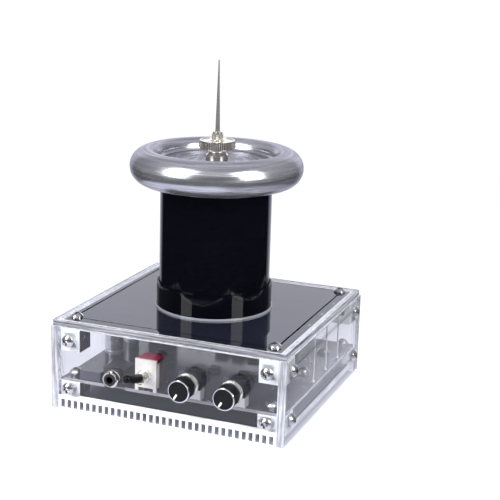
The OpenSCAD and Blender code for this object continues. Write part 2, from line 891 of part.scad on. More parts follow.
// Places children at the lever's pivot with +Z along the lever
module along_lever() {
  at_switch(pivot_y) rotate([90 - lever_angle, 0, 0]) children();
}

// Lever with a ball that fills the bushing's bore and a cross pin to swing on
module toggle_lever() {
  color(nickel)
    along_lever() {
      sphere(r = ball_r);
      rotate([0, 90, 0]) cylinder(r = pivot_pin_r, h = pivot_pin_l, center = true);
      cylinder(d = lever_d, h = lever_l - 3);
    }
}

// Rubber cap that just clears the bushing's rim in the lower position
module lever_cap() {
  start = (pivot_depth + 0.1 + cap_d / 2 * sin(lever_drop)) / cos(lever_drop);
  color(black)
    along_lever()
      difference() {
        union() {
          translate([0, 0, start])
            cylinder(r1 = cap_d / 2, r2 = cap_tip_r, h = lever_l - cap_tip_r - start);
          translate([0, 0, lever_l - cap_tip_r]) sphere(r = cap_tip_r);
        }
        translate([0, 0, start - 1]) cylinder(d = lever_d + 0.04, h = lever_l - 3 - start + 1.04);
      }
}

// ---------- potentiometers and knobs ----------

// Puts children at a control's centre, y measured out from the front sheet's face
module at_pot(x, out = 0) {
  translate([x, front_y - out, control_z]) rotate([90, 0, 0]) children();
}

module pot_bodies() {
  color([0.12, 0.22, 0.20])
    for (x = pot_xs)
      translate([x, in_front_y + 0.1 + plate_t, control_z]) {
        difference() {
          span([-pot_w / 2 + 0.4, 0, -control_h], [pot_w / 2 - 0.4, pot_l, pot_plate_h - control_h - 0.6]);
          translate([0, -1, 0]) rotate([-90, 0, 0]) cylinder(r = shaft_d / 2 + fit, h = 4);
        }
      }
}

// Steel face and folded sides of each potentiometer
module pot_frames() {
  color([0.82, 0.81, 0.78])
    for (x = pot_xs)
      translate([x, in_front_y + 0.1, control_z])
        difference() {
          union() {
            span([-pot_w / 2, 0, -control_h + 0.2], [pot_w / 2, plate_t, pot_plate_h - control_h]);
            for (s = [-1, 1])
              span([s * pot_w / 2 - (s > 0 ? 0.4 : 0), 0, -control_h],
                   [s * pot_w / 2 + (s > 0 ? 0 : 0.4), 5, 2.5]);
          }
          translate([0, -1, 0]) rotate([-90, 0, 0]) cylinder(d = bushing_d - 0.6, h = plate_t + 2);
        }
}

module pot_bushings() {
  l = wall_t + 0.1 + bushing_out;
  color(nickel)
    for (x = pot_xs)
      at_pot(x, -wall_t - 0.1)
        difference() {
          cylinder(d = bushing_d, h = l);
          translate([0, 0, -1]) cylinder(r = shaft_d / 2 + fit, h = l + 2);
        }
}

// Washer and hexagon nut on the front sheet
module pot_nuts() {
  color([0.84, 0.83, 0.80])
    for (x = pot_xs)
      at_pot(x)
        difference() {
          union() {
            cylinder(d = pot_nut_af + 1, h = pot_washer_t);
            translate([0, 0, pot_washer_t])
              intersection() {
                rotate(15) cylinder(d = pot_nut_af / cos(30), h = pot_nut_t, $fn = 6);
                cylinder(r1 = pot_nut_af * 0.62, r2 = pot_nut_af * 0.53, h = pot_nut_t);
              }
          }
          translate([0, 0, -1]) cylinder(d = bushing_d + 2 * fit, h = bushing_out + 2);
        }
}

module shaft(x) {
  inside = wall_t + 2;
  color(steel)
    at_pot(x, -inside) cylinder(d = shaft_d, h = inside + knob_front - 2.5);
}

// Ribbed body of a knob with a recess for the bushing and one for the rim ring
module knob(x) {
  ribs = 36;
  rib_h = 0.25;
  r = knob_d / 2;
  core_r = r - rib_h - 0.08;
  recess_r = bushing_d / 2 + 0.3;
  color(black)
    at_pot(x, knob_back)
      difference() {
        union() {
          rotate_extrude()
            polygon([[0, 0], [core_r - 0.4, 0], [core_r, 0.4], [core_r, knob_l], [0, knob_l]]);
          translate([0, 0, 0.7]) linear_extrude(knob_l - 1) toothed(r, ribs, rib_h);
        }
        translate([0, 0, -1]) cylinder(r = recess_r, h = 1 + bushing_out - knob_back + 0.5);
        translate([0, 0, -1]) cylinder(d = shaft_d + 0.04, h = 1 + knob_l - 2.48);
        translate([0, 0, knob_l - ring_t])
          difference() {
            cylinder(r = r + 1, h = ring_t + 1);
            translate([0, 0, -1]) cylinder(r = r - ring_w, h = ring_t + 3);
          }
        translate([0, 0, knob_l - 0.3]) cylinder(r = r - ring_w - 0.25, h = 1);
        pointer_shape(knob_l - 0.75, 1);
      }
}

// Slim bar from near the centre to the rim, at the minimum position
module pointer_shape(z, h) {
  w = 0.8;
  rotate(-90 - pointer_angle)
    translate([knob_d / 2 * 0.35, -w / 2, z]) cube([knob_d / 2 * 0.52, w, h]);
}

// Bright ring let into the knob's front rim
module knob_ring(x) {
  r = knob_d / 2;
  color([0.92, 0.92, 0.92])
    at_pot(x, knob_back)
      rotate_extrude()
        polygon([[r - ring_w, knob_l - ring_t], [r, knob_l - ring_t], [r, knob_l - 0.25],
                 [r - 0.25, knob_l], [r - ring_w, knob_l]]);
}

module pointer(x) {
  color("white") at_pot(x, knob_back) pointer_shape(knob_l - 0.75, 0.55);
}

module left_shaft() { shaft(pot_xs[0]); }
module left_knob() { knob(pot_xs[0]); }
module left_knob_ring() { knob_ring(pot_xs[0]); }
module left_pointer() { pointer(pot_xs[0]); }
module right_shaft() { shaft(pot_xs[1]); }
module right_knob() { knob(pot_xs[1]); }
module right_knob_ring() { knob_ring(pot_xs[1]); }
module right_pointer() { pointer(pot_xs[1]); }

// ---------- coil ----------

module at_coil(z) {
  translate([0, coil_y, z]) children();
}

module ring_wall(r_in, r_out, h) {
  difference() {
    cylinder(r = r_out, h = h);
    translate([0, 0, -1]) cylinder(r = r_in, h = h + 2);
  }
}

module coil_former() {
  color([0.85, 0.85, 0.83]) at_coil(lid_z) ring_wall(former_in_r, former_r, coil_top - lid_z);
}

// Hundreds of turns of hair-thin enamelled wire under lacquer: a smooth black layer
module secondary_winding() {
  margin = 1.5;
  color(black) at_coil(lid_z + margin) ring_wall(former_r, coil_r, coil_top - lid_z - 2 * margin);
}

// One broad turn of copper strip under the sleeve, open where its ends meet
module primary_band() {
  band_h = flat_t + sleeve_h - 5;
  color([0.72, 0.40, 0.22])
    at_coil(lid_z + 2.5)
      difference() {
        ring_wall(band_in_r, band_in_r + band_t, band_h);
        translate([0, 0, -1]) rotate(60) cube([coil_r * 2, 3, band_h + 2]);
      }
}

module coil_sleeve() {
  color([0.07, 0.07, 0.09]) at_coil(lid_z) ring_wall(sleeve_in_r, sleeve_r, flat_t + sleeve_h);
}

// Clear hoop with a rounded top that hides the gap round the sleeve
module base_hoop() {
  color([0.93, 0.95, 0.97, 0.6])
    at_coil(case_h)
      rotate_extrude()
        translate([sleeve_r + fit, 0]) {
          square([hoop_t, hoop_h - hoop_t / 2]);
          translate([hoop_t / 2, hoop_h - hoop_t / 2]) circle(d = hoop_t);
        }
}

// Disc inside the tube's foot
module base_plug() {
  color([0.2, 0.2, 0.22])
    at_coil(lid_z)
      difference() {
        cylinder(r = former_in_r - fit, h = plug_t);
        translate([0, 0, -1]) cylinder(r = stud_r + fit, h = plug_t);
      }
}

// Screw that holds the disc down on the lid board
module base_screw() {
  color(steel)
    at_coil(lid_board_z)
      mirror([0, 0, 1])
        screw(lid_board_t + plug_t - 2, d = stud_d, head_d = stud_d * 1.8, head_h = 2.2);
}

// Flanged cap that closes the tube and carries the toroid
module top_cap() {
  color([0.2, 0.2, 0.22])
    difference() {
      union() {
        at_coil(coil_top) cylinder(r = former_r, h = cap_flange_h);
        at_coil(coil_top - plug_h) ring_wall(former_in_r - 3, former_in_r - fit, plug_h + eps);
      }
      at_coil(coil_top - 1) cylinder(r = stud_r + fit, h = cap_flange_h + 2);
    }
}

// ---------- toroid ----------

// Half section of the hollow rim above the seam, thinner all round by t
module rim_half(t) {
  translate([rim_x, 0])
    intersection() {
      circle(rim_r - t);
      square(rim_r);
    }
  translate([rim_x, dish_level])
    intersection() {
      circle(dish_curve_r - t);
      translate([-dish_curve_r, 0]) square(dish_curve_r);
    }
  translate([dish_r + t, 0]) square([dish_curve_r - t, dish_level]);
  translate([rim_x - eps, 0]) square([2 * eps, rim_r - t]);
}

module rim_shell() {
  rotate_extrude($fn = 128)
    difference() {
      rim_half(0);
      translate([0, -eps]) rim_half(shell_t);
      translate([rim_x, 0])
        intersection() {
          circle(rim_r - shell_t);
          square(rim_r);
        }
    }
}

// Hollow curve between the dish's wall and its floor
module dish_cove() {
  rotate_extrude($fn = 128)
    difference() {
      translate([dish_r - cove_r, -eps]) square([cove_r + 0.4, cove_r]);
      translate([dish_r - cove_r, cove_r]) circle(cove_r);
    }
}

module toroid_upper() {
  color([0.78, 0.79, 0.81])
    at_coil(0)
      difference() {
        union() {
          translate([0, 0, toroid_z]) rim_shell();
          translate([0, 0, disc_under]) cylinder(r = dish_r + eps, h = shell_t);
          translate([0, 0, disc_top]) dish_cove();
        }
        translate([0, 0, disc_under - 1]) cylinder(r = stud_r + fit, h = shell_t + 2);
      }
}

module toroid_lower() {
  color([0.78, 0.79, 0.81])
    at_coil(toroid_z) mirror([0, 0, 1]) rim_shell();
}

// ---------- terminal ----------

module centre_stud() {
  head_h = 2.6;
  color(nickel)
    at_coil(coil_top - head_h) {
      cylinder(d = stud_d * 1.9, h = head_h, $fn = 6);
      cylinder(r = stud_r, h = nut_top - 1.2 - coil_top + head_h);
    }
}

// Turned boss: wide foot, chamfer and narrower neck
module boss() {
  foot_r = boss_d / 2;
  neck_r = foot_r - 1.1;
  foot_h = boss_h * 0.5;
  color(nickel)
    at_coil(disc_top)
      difference() {
        rotate_extrude()
          polygon([[0, 0], [foot_r, 0], [foot_r, foot_h], [neck_r, foot_h + 1.1],
                   [neck_r, boss_h - 0.8], [neck_r + 0.3, boss_h], [0, boss_h]]);
        translate([0, 0, -1]) cylinder(r = stud_r + fit, h = boss_h + 2);
      }
}

// Knurled nut: a band of fine teeth between a rounded lower edge and a plain upper rim
module thumb_nut() {
  tooth = 0.3;
  core_r = nut_d / 2 - tooth - 0.08;
  edge_r = 1.3;
  rim_h = 0.5;
  color([0.70, 0.67, 0.61])
    at_coil(boss_top)
      difference() {
        union() {
          rotate_extrude() {
            translate([0, edge_r]) square([core_r, nut_h - edge_r]);
            square([core_r - edge_r, edge_r + eps]);
            translate([core_r - edge_r, edge_r])
              intersection() {
                circle(edge_r);
                translate([-eps, -edge_r]) square([edge_r + eps, edge_r + eps]);
              }
          }
          translate([0, 0, edge_r]) linear_extrude(nut_h - edge_r - rim_h) toothed(nut_d / 2, 60, tooth);
        }
        translate([0, 0, -1]) cylinder(r = stud_r + fit, h = nut_h);
        translate([0, 0, nut_h - 1.2]) cylinder(r = needle_d / 2 + fit, h = 2);
        translate([0, 0, nut_h - 0.25])
          difference() {
            cylinder(r = core_r - 0.9, h = 1);
            translate([0, 0, -1]) cylinder(d = collet_d + 1, h = 3);
          }
      }
}

// Small knurled collet with crossing slots in its top, round the needle's foot
module needle_collet() {
  tooth = 0.25;
  slot_t = 0.5;
  core_r = collet_d / 2 - tooth - 0.08;
  color(nickel)
    at_coil(nut_top)
      difference() {
        union() {
          cylinder(r = core_r, h = collet_h);
          translate([0, 0, 0.4]) linear_extrude(collet_h - 1.6) toothed(collet_d / 2, 18, tooth);
        }
        translate([0, 0, -1]) cylinder(r = needle_d / 2 + fit, h = collet_h + 2);
        for (a = [0, 60, 120])
          rotate(a) translate([-collet_d, -slot_t / 2, collet_h - 1]) cube([2 * collet_d, slot_t, 2]);
      }
}

module discharge_needle() {
  shank = collet_top - needle_seat;
  color(steel)
    at_coil(needle_seat) {
      cylinder(d = needle_d, h = shank + 0.5);
      translate([0, 0, shank + 0.5 - eps])
        cylinder(d1 = needle_d, d2 = needle_tip_d, h = needle_l - 0.5 - needle_tip_d / 2 + eps);
      translate([0, 0, shank + needle_l - needle_tip_d / 2]) sphere(d = needle_tip_d);
    }
}

front_panel();
back_panel();
left_panel();
right_panel();
lid_plate();
bottom_plate();
upper_blocks();
lower_blocks();
case_screws();
lid_screws();
bottom_screws();
board_screws();
main_board();
lid_board();
riser_wires();
power_transistors();
transistor_screws();
bulk_capacitor();
small_capacitors();
film_capacitor();
resonant_capacitors();
logic_chips();
transformer_core();
transformer_winding();
audio_jack();
audio_jack_nut();
power_jack();
power_jack_pin();
switch_body();
switch_frame();
switch_bushing();
toggle_lever();
lever_cap();
pot_bodies();
pot_frames();
pot_bushings();
pot_nuts();
left_shaft();
left_knob();
left_knob_ring();
left_pointer();
right_shaft();
right_knob();
right_knob_ring();
right_pointer();
coil_former();
secondary_winding();
primary_band();
coil_sleeve();
base_hoop();
base_plug();
base_screw();
top_cap();
toroid_upper();
toroid_lower();
centre_stud();
boss();
thumb_nut();
needle_collet();
discharge_needle();
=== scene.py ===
"""Looks of the desktop resonant transformer: materials, narrow chamfers, studio and camera.

Metres, Z up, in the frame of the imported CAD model, which carries every moving piece.
"""

import math

import bpy
from mathutils import Matrix, Vector


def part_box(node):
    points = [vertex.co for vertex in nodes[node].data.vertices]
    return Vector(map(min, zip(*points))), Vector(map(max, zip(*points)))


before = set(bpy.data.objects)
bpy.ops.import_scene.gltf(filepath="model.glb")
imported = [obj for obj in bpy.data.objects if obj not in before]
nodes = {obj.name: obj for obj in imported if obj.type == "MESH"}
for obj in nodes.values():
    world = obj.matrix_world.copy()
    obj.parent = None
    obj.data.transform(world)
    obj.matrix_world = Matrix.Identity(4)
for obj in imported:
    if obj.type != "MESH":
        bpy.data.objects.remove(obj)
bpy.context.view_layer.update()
MM = 0.001

# ---------- places taken from the frame ----------


def middle(node):
    """Centre of a CAD node's box."""
    low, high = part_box(node)
    return (low + high) / 2


def radius(node):
    """Half the width of a round CAD node."""
    low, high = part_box(node)
    return (high.x - low.x) / 2


LID_LO, LID_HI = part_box("lid_plate")
FRONT_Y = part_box("front_panel")[0].y
BACK_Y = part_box("back_panel")[1].y
MID_Y = (FRONT_Y + BACK_Y) / 2
BASE_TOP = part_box("bottom_plate")[1].z
AXIS_Y = middle("secondary_winding").y
KNOB_Z = middle("left_knob").z
NUT_RADIUS = radius("thumb_nut")
DISH_FOLD = 0.62 * radius("toroid_upper")

# ---------- sizes that the materials and the floor use, in millimetres ----------

KNURL_BAND = 0.55
POT_DARK_BELOW_AXIS = 3.25
POT_DARK_BLEND = 0.25
FOLD_HALF_WIDTH = 0.15
FOLD_BLEND = 0.2
BAND_BLEND = 0.12
MIRRORED_FLOOR = 192.0
MIRRORED_FLOOR_BLEND = 16.0
DIM_SIDE_START, DIM_SIDE_END = 62.0, 90.0
LIT_FLOOR_START, LIT_FLOOR_END = 200.0, 650.0
NUT_TEETH = 60

# ---------- camera, solved from the photograph ----------

CAMERA_AZIMUTH = 20.89
CAMERA_ELEVATION = 14.78
CAMERA_ROLL = 1.69
CAMERA_PLACE = Vector((0.23079, -0.55588, 0.23161))
FOCAL_PIXELS = 1251.34
PHOTO_WIDTH = 500
SENSOR = 36.0


def make_camera():
    a, e, r = (math.radians(v) for v in (CAMERA_AZIMUTH, CAMERA_ELEVATION, CAMERA_ROLL))
    back = Vector((math.sin(a) * math.cos(e), -math.cos(a) * math.cos(e), math.sin(e)))
    level = Vector((math.cos(a), math.sin(a), 0))
    above = level.cross(-back)
    right = math.cos(r) * level + math.sin(r) * above
    up = -math.sin(r) * level + math.cos(r) * above
    data = bpy.data.cameras.new("camera")
    data.sensor_width = SENSOR
    data.lens = FOCAL_PIXELS / PHOTO_WIDTH * SENSOR
    cam = bpy.data.objects.new("camera", data)
    turn = Matrix((right, up, back)).transposed().to_4x4()
    cam.matrix_world = Matrix.Translation(CAMERA_PLACE + Vector((0, MID_Y, 0))) @ turn
    bpy.context.scene.collection.objects.link(cam)
    bpy.context.scene.camera = cam


# ---------- node helpers ----------


class Tree:
    """Short calls for building the nodes of one material or of the world."""

    def __init__(self, owner, output="OutputMaterial"):
        self.owner = bpy.data.materials.new(owner) if isinstance(owner, str) else owner
        self.owner.use_nodes = True
        self.nt = self.owner.node_tree
        self.nt.nodes.clear()
        self.out = self.node(output)

    def node(self, kind, values=None, **props):
        n = self.nt.nodes.new("ShaderNode" + kind)
        for key, value in props.items():
            setattr(n, key, value)
        for key, value in (values or {}).items():
            if isinstance(value, bpy.types.NodeSocket):
                self.nt.links.new(value, n.inputs[key])
            else:
                n.inputs[key].default_value = value
        return n

    def place(self):
        """Position in the row frame, in millimetres."""
        point = self.node("TexCoord").outputs["Object"]
        return self.node("VectorMath", {0: point, "Scale": 1000.0}, operation="SCALE").outputs[0]

    def parts(self, vector):
        return self.node("SeparateXYZ", {0: vector}).outputs

    def math(self, operation, *values):
        return self.node("Math", dict(enumerate(values)), operation=operation).outputs[0]

    def stretch(self, vector, x, y, z):
        return self.node("VectorMath", {0: vector, 1: (x, y, z)}, operation="MULTIPLY").outputs[0]

    def noise(self, vector, scale=1.0, detail=3.0, rough=0.5):
        values = {"Vector": vector, "Scale": scale, "Detail": detail, "Roughness": rough}
        return self.node("TexNoise", values).outputs["Fac"]

    def between(self, value, low, high, to_low, to_high):
        values = {"Value": value, 1: low, 2: high, 3: to_low, 4: to_high}
        return self.node("MapRange", values).outputs[0]

    def tint(self, fac, a, b):
        n = self.node("Mix", {"Factor": fac}, data_type="RGBA")
        for key, value in (("A", a), ("B", b)):
            socket = next(s for s in n.inputs if s.name == key and s.type == "RGBA")
            if isinstance(value, bpy.types.NodeSocket):
                self.nt.links.new(value, socket)
            else:
                socket.default_value = (*value, 1)
        return next(s for s in n.outputs if s.type == "RGBA")

    def bump(self, height, distance, strength=1.0):
        values = {"Height": height, "Distance": distance * MM, "Strength": strength}
        return self.node("Bump", values).outputs[0]

    def mixed(self, share, first, second):
        """First shader where share is 0, second where it is 1."""
        return self.node("MixShader", {0: share, 1: first, 2: second}).outputs[0]

    def surface(self, **values):
        """Principled shader; colour tuples become RGBA."""
        names = {k.replace("_", " "): v for k, v in values.items()}
        for k, v in names.items():
            if isinstance(v, tuple) and len(v) == 3:
                names[k] = (*v, 1)
        return self.node("BsdfPrincipled", names).outputs[0]

    def finish(self, shader):
        self.nt.links.new(shader, self.out.inputs["Surface"])
        return self.owner


def radius_and_turn(t, place):
    """Distance from the coil's axis, the direction round it, and the height."""
    x, y, z = t.parts(place)
    dy = t.math("SUBTRACT", y, AXIS_Y / MM)
    r = t.math("SQRT", t.math("ADD", t.math("MULTIPLY", x, x), t.math("MULTIPLY", dy, dy)))
    return r, t.math("ARCTAN2", dy, x), z


# ---------- materials ----------


def recess_shade(t, reach, floor_value):
    """Painted shade: falls from 1 to floor_value in slots, threads and between teeth."""
    nearby = t.node("AmbientOcclusion", {"Distance": reach * MM}, samples=6, only_local=True)
    return t.between(nearby.outputs["AO"], 0.35, 0.95, floor_value, 1.0)


def scaled(t, color, factor):
    """Colour times a value."""
    return t.node("VectorMath", {0: color, "Scale": factor}, operation="SCALE").outputs[0]


def clear_sheet(name, thin, edge, streak, span, band=None, tint=(0.99, 0.986, 0.972)):
    """Clear cast sheet: end faces with dark and light streaks, and a white band up to a height.

    thin is the axis across the sheet, edge the two colours of its ends, span the range of noise
    that runs from the dark colour to the light one.
    """
    t = Tree(name)
    place = t.place()
    waves = t.bump(t.noise(place, 0.03, 1.0), 0.02)
    shader = t.surface(
        Base_Color=tint, Roughness=0.01, IOR=1.49, Transmission_Weight=1.0, Normal=waves
    )
    normal = t.node("NewGeometry").outputs["Normal"]
    end = t.math("LESS_THAN", t.math("ABSOLUTE", t.parts(normal)[thin]), 0.5)
    light = t.noise(t.stretch(place, *streak), 1.0, 4.0, 0.6)
    fine = t.noise(t.stretch(place, *(v * 7 for v in streak)), 1.0, 2.0)
    share = t.between(t.math("ADD", light, t.math("MULTIPLY", fine, 0.25)), *span, 0.0, 1.0)
    sawn = t.surface(
        Base_Color=t.tint(share, *edge), Roughness=0.22, Specular_IOR_Level=0.5,
        Normal=t.bump(fine, 0.04),
    )
    face = t.mixed(0.72, shader, sawn)
    shader = t.mixed(end, shader, face)
    # Up to the height band the clear sheet is drawn opaque white; its end faces there, slot walls
    # among them, are dark grey as painted shade.
    if band is not None:
        z = t.parts(place)[2]
        white = t.tint(end, (0.95, 0.955, 0.97), (0.26, 0.27, 0.32))
        opaque_foot = t.surface(Base_Color=white, Roughness=0.3, Specular_IOR_Level=0.5)
        level = t.between(z, band + BAND_BLEND, band - BAND_BLEND, 0.0, 1.0)
        shader = t.mixed(level, shader, opaque_foot)
    through = t.node("BsdfTransparent", {"Color": (0.92, 0.93, 0.95, 1)}).outputs[0]
    lamp = t.node("LightPath").outputs["Is Shadow Ray"]
    return t.finish(t.mixed(lamp, shader, through))


def metal(name, color, rough, grain=(1, 1, 1), grain_scale=3.0, depth=0.01, body=1.0, recess=None):
    """Plated or machined metal with a fine grain. body is its metallic share; recess, when given, is
    the reach of painted shade in its hollows.
    """
    t = Tree(name)
    place = t.place()
    fine = t.noise(t.stretch(place, *grain), grain_scale, 4.0)
    broad = t.noise(place, 0.25, 3.0)
    tone = t.tint(t.between(broad, 0.3, 0.7, 0, 1), color, tuple(c * 0.92 for c in color))
    if recess is not None:
        # Painted shade darkens the hollows.
        tone = scaled(t, tone, recess_shade(t, recess, 0.06))
    roughness = t.between(fine, 0.25, 0.75, rough * 0.8, rough * 1.3)
    return t.finish(
        t.surface(Base_Color=tone, Metallic=body, Roughness=roughness, Normal=t.bump(fine, depth))
    )


def red_case():
    """Red moulding of the switch, with painted shade that darkens the faces turned to the side."""
    t = Tree("red_plastic")
    place = t.place()
    turned = t.math("ABSOLUTE", t.parts(t.node("NewGeometry").outputs["Normal"])[0])
    red = t.tint(t.noise(place, 4.0, 3.0), (0.30, 0.008, 0.045), (0.34, 0.014, 0.055))
    # Painted shade: faces turned to the side go nearly black.
    color = t.tint(t.between(turned, 0.4, 0.8, 0.0, 1.0), red, (0.035, 0.004, 0.010))
    return t.finish(t.surface(Base_Color=color, Roughness=0.3))


def pot_steel():
    """Tinned potentiometer frame: silver below a height a little under the knob's axis, and drawn dark
    and matt above it.
    """
    t = Tree("pot_steel")
    place = t.place()
    # Above this height the steel is drawn dark and matt.
    face = KNOB_Z / MM - POT_DARK_BELOW_AXIS
    z = t.parts(place)[2]
    level = t.between(z, face - POT_DARK_BLEND, face + POT_DARK_BLEND, 0.0, 1.0)
    grain = t.noise(place, 3.0, 3.0)
    silver = t.tint(grain, (0.62, 0.61, 0.60), (0.80, 0.79, 0.77))
    return t.finish(
        t.surface(
            Base_Color=t.tint(level, silver, (0.030, 0.030, 0.042)), Roughness=0.35,
            Metallic=t.between(level, 0.0, 1.0, 0.65, 0.0), Normal=t.bump(grain, 0.01),
        )
    )


def knurled_nickel():
    """Knurled nut with painted shade in the valleys between its teeth and in its hollows."""
    t = Tree("knurled_nickel")
    place = t.place()
    r, turn, _ = radius_and_turn(t, place)
    teeth = t.math("COSINE", t.math("MULTIPLY", turn, NUT_TEETH))
    band = t.math("GREATER_THAN", r, NUT_RADIUS / MM - KNURL_BAND)
    # Painted shade in the valleys between the teeth.
    valley = t.math("MULTIPLY", band, t.between(teeth, -0.35, 0.5, 0.97, 0.0))
    tone = t.tint(t.noise(place, 0.6, 3.0), (0.66, 0.61, 0.56), (0.78, 0.73, 0.67))
    color = scaled(t, t.tint(valley, tone, (0.03, 0.028, 0.025)), recess_shade(t, 0.8, 0.3))
    return t.finish(t.surface(Base_Color=color, Metallic=0.8, Roughness=0.25))


def milled_block():
    """Corner block: pale milled faces, and a painted dark reflection on the face towards the inside of
    the case.
    """
    t = Tree("block_aluminium")
    place = t.place()
    normal = t.parts(t.node("NewGeometry").outputs["Normal"])
    x = t.parts(place)[0]
    inward = t.math("LESS_THAN", t.math("MULTIPLY", x, normal[0]), -5.0)
    strokes = t.noise(t.stretch(place, 1.0, 6.0, 6.0), 1.0, 4.0)
    pale = t.tint(strokes, (0.86, 0.89, 0.94), (0.95, 0.96, 0.98))
    # Painted dark reflection on the face turned to the inside of the case.
    color = t.tint(inward, pale, (0.035, 0.035, 0.05))
    body = t.between(inward, 0.0, 1.0, 0.25, 0.6)
    return t.finish(
        t.surface(Base_Color=color, Metallic=body, Roughness=0.38, Normal=t.bump(strokes, 0.01))
    )


def spun_aluminium():
    """Spun shell: fine rings round the axis, dull and bright streaks, and a brushed sheen."""
    t = Tree("spun_aluminium")
    r, turn, z = radius_and_turn(t, t.place())
    rings = t.node("CombineXYZ", {0: r, 1: turn, 2: z}).outputs[0]
    fine = t.noise(t.stretch(rings, 3.2, 1.6, 3.2), 1.0, 5.0, 0.7)
    broad = t.noise(t.stretch(rings, 0.45, 0.9, 0.45), 1.0, 3.0)
    share = t.between(t.math("ADD", fine, broad), 0.8, 1.25, 0.0, 1.0)
    color = t.tint(share, (0.40, 0.40, 0.45), (0.74, 0.74, 0.78))
    fold = t.math("ABSOLUTE", t.math("SUBTRACT", r, DISH_FOLD / MM))
    line = t.between(fold, FOLD_HALF_WIDTH, FOLD_HALF_WIDTH + FOLD_BLEND, 0.85, 0.0)
    color = t.tint(line, color, (0.05, 0.05, 0.06))
    brushed = t.between(fine, 0.3, 0.7, 0.17, 0.27)
    rough = t.math("ADD", brushed, t.between(broad, 0.3, 0.7, -0.03, 0.05))
    return t.finish(
        t.surface(
            Base_Color=color, Metallic=0.9, Roughness=rough, Normal=t.bump(fine, 0.014),
            Specular_Tint=(0.45, 0.44, 0.46),
        )
    )


def black_lacquer(name, turns_show):
    """Thick glossy black lacquer. The hair-thin turns of wire under it hardly show."""
    t = Tree(name)
    _, turn, z = radius_and_turn(t, t.place())
    height = t.node("CombineXYZ", {2: z}).outputs[0]
    turns = t.node(
        "TexWave", {"Vector": height, "Scale": 2.5, "Distortion": 0.0},
        wave_type="BANDS", bands_direction="Z",
    ).outputs["Fac"]
    round_place = t.node("CombineXYZ", {0: t.math("MULTIPLY", turn, 9.0), 2: z}).outputs[0]
    streaks = t.between(t.noise(round_place, 1.0, 3.0), 0.5, 0.75, 0.0, 1.0)
    mark = t.math("MULTIPLY", streaks, t.math("MULTIPLY", turns, turns_show))
    color = t.tint(mark, (0.0018, 0.0018, 0.0035), (0.008, 0.008, 0.013))
    return t.finish(
        t.surface(
            Base_Color=color, Roughness=0.3, Specular_IOR_Level=0.0, Coat_Weight=0.75,
            Coat_Roughness=0.02, Coat_IOR=1.42,
        )
    )


def gloss(name, color, rough, level=0.5):
    """Moulded or lacquered piece with a slight mottle and a faint texture. level is its sheen."""
    t = Tree(name)
    fine = t.noise(t.place(), 6.0, 4.0)
    lighter = tuple(min(1.0, c * 1.08 + 0.0024) for c in color)
    return t.finish(
        t.surface(
            Base_Color=t.tint(fine, color, lighter), Specular_IOR_Level=level,
            Roughness=t.between(fine, 0.3, 0.7, rough * 0.85, rough * 1.2),
            Normal=t.bump(fine, 0.01),
        )
    )


def circuit_board(name, tracks_show, edge_color):
    """Black solder mask with tracks that raise it, bright solder pads, and a cut edge in edge_color,
    which is the laminate's colour on the main board and painted light on the lid board.
    """
    t = Tree(name)
    place = t.place()
    layout = {
        "Vector": place, "Scale": 0.11, "Mortar Size": 0.03, "Mortar Smooth": 0.2, "Bias": 0.0,
        "Brick Width": 0.9, "Row Height": 0.28,
    }
    tracks = t.node("TexBrick", layout, offset=0.37, squash=1.6).outputs["Fac"]
    tracks = t.math("MULTIPLY", tracks, tracks_show)
    weave = t.noise(place, 0.8, 3.0)
    color = t.tint(tracks, (0.016, 0.017, 0.030), (0.040, 0.042, 0.060))
    pads = t.node("TexVoronoi", {"Vector": place, "Scale": 0.42}).outputs["Distance"]
    busy = t.between(t.noise(place, 0.09, 1.0), 0.45, 0.6, 0.0, tracks_show)
    solder = t.math("MULTIPLY", busy, t.between(pads, 0.14, 0.2, 1.0, 0.0))
    color = t.tint(solder, color, (0.55, 0.56, 0.60))
    normal = t.node("NewGeometry").outputs["Normal"]
    edge = t.math("LESS_THAN", t.math("ABSOLUTE", t.parts(normal)[2]), 0.5)
    color = t.tint(edge, color, edge_color)
    return t.finish(
        t.surface(
            Base_Color=color, Roughness=t.between(weave, 0.3, 0.7, 0.10, 0.16),
            Normal=t.bump(tracks, 0.02, 0.4),
        )
    )


# ---------- each CAD node and the material that it wears ----------


def case_materials(steel, nickel):
    pale = (0.66, 0.67, 0.71)
    grey = (0.26, 0.265, 0.31)
    dark = (0.05, 0.05, 0.07)
    even = (0.5, 0.5, 0.5)
    upright = (0.9, 0.9, 0.04)
    sawn = (0.1, 0.1, 0.5)
    layered = (0.02, 0.02, 0.8)
    cross = clear_sheet("clear_cross", 1, (grey, pale), even, (0.5, 0.7), BASE_TOP / MM)
    sides = clear_sheet("clear_sides", 0, (grey, pale), upright, (0.55, 0.75))
    alloy = milled_block()
    return {
        "front_panel": cross,
        "back_panel": cross,
        "left_panel": sides,
        "right_panel": sides,
        "lid_plate": clear_sheet("clear_lid", 2, (dark, (0.72, 0.72, 0.76)), layered, (0.5, 0.95)),
        # The clear bottom sheet is tinted dark: painted shade for the shadow under the boards.
        "bottom_plate": clear_sheet(
            "bottom_painted_shade", 2, (grey, pale), sawn, (0.5, 0.7), tint=(0.30, 0.31, 0.36)
        ),
        "upper_blocks": alloy,
        "lower_blocks": alloy,
        "case_screws": steel,
        "lid_screws": steel,
        "bottom_screws": steel,
        "power_jack": gloss("socket_black_rear", (0.012, 0.012, 0.014), 0.35),
        "power_jack_pin": nickel,
        "audio_jack": gloss("socket_black", (0.010, 0.010, 0.012), 0.3),
        "audio_jack_nut": nickel,
    }


